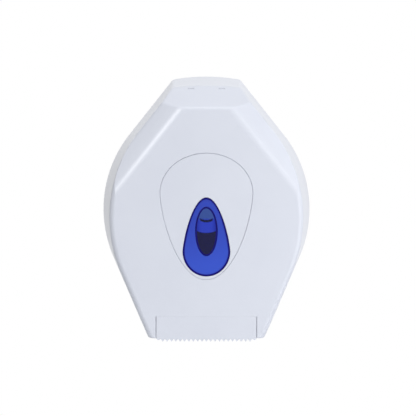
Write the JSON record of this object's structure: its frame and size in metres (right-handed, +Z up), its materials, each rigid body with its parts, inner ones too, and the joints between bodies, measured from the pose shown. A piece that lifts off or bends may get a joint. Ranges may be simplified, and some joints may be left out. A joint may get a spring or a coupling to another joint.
{
  "type": "jumbo toilet roll dispenser",
  "caption": "Wall-hung jumbo toilet roll dispenser with a bottom-hinged locking cover, a turning roll hub, a drop-shaped window and a serrated tear bar.",
  "frame": {"origin": "centre of the wall-screw pattern on the wall face, which is also where the spindle axis meets the wall", "axes": "+Y into the wall, so the front faces -Y; +Z up; +X to the right seen from the front"},
  "size_m": [0.2636, 0.128, 0.3251],
  "materials": {
    "shell": "satin moulded white",
    "chassis": "fine textured light grey",
    "hub": "satin dark blue",
    "window": "glossy tinted blue, see-through",
    "sight": "glossy clear grey blue",
    "steel": "zinc plated",
    "felt": "matt black"
  },
  "bodies": {
    "wall_body": {"back_plate": "chassis", "spindle": "chassis", "spindle_screws": "steel", "friction_washer": "felt", "spindle_cap": "shell", "cap_screw": "steel", "catch_arm": "chassis", "catch_screws": "steel", "hinge_pin_left": "steel", "hinge_pin_right": "steel"},
    "hub": {"roll_hub": "hub"},
    "cover": {"cover": "shell", "badge_panel": "shell", "badge_nuts": "steel", "window_lens": "window", "sight_glass": "sight", "tear_bar": "shell", "tear_bar_screws": "steel", "lock_housing": "chassis", "lock_screws": "steel"},
    "latch": {"latch_slider": "hub", "latch_spring_left": "steel", "latch_spring_right": "steel"}
  },
  "joints": [
    {"name": "cover_hinge", "type": "hinge", "parent": "wall_body", "child": "cover", "pos_m": [0, -0.013, -0.141], "axis": [1, 0, 0], "range_deg": [0, 85]},
    {"name": "hub_spin", "type": "hinge", "parent": "wall_body", "child": "hub", "pos_m": [0, 0, 0], "axis": [0, 1, 0], "continuous": true},
    {"name": "latch_slide", "type": "slide", "parent": "cover", "child": "latch", "axis": [0, 0, 1], "range_m": [0, 0.005], "stiffness_N_per_m": 400, "springref_m": 0.012, "deforming": ["latch_spring_left", "latch_spring_right"]}
  ]
}
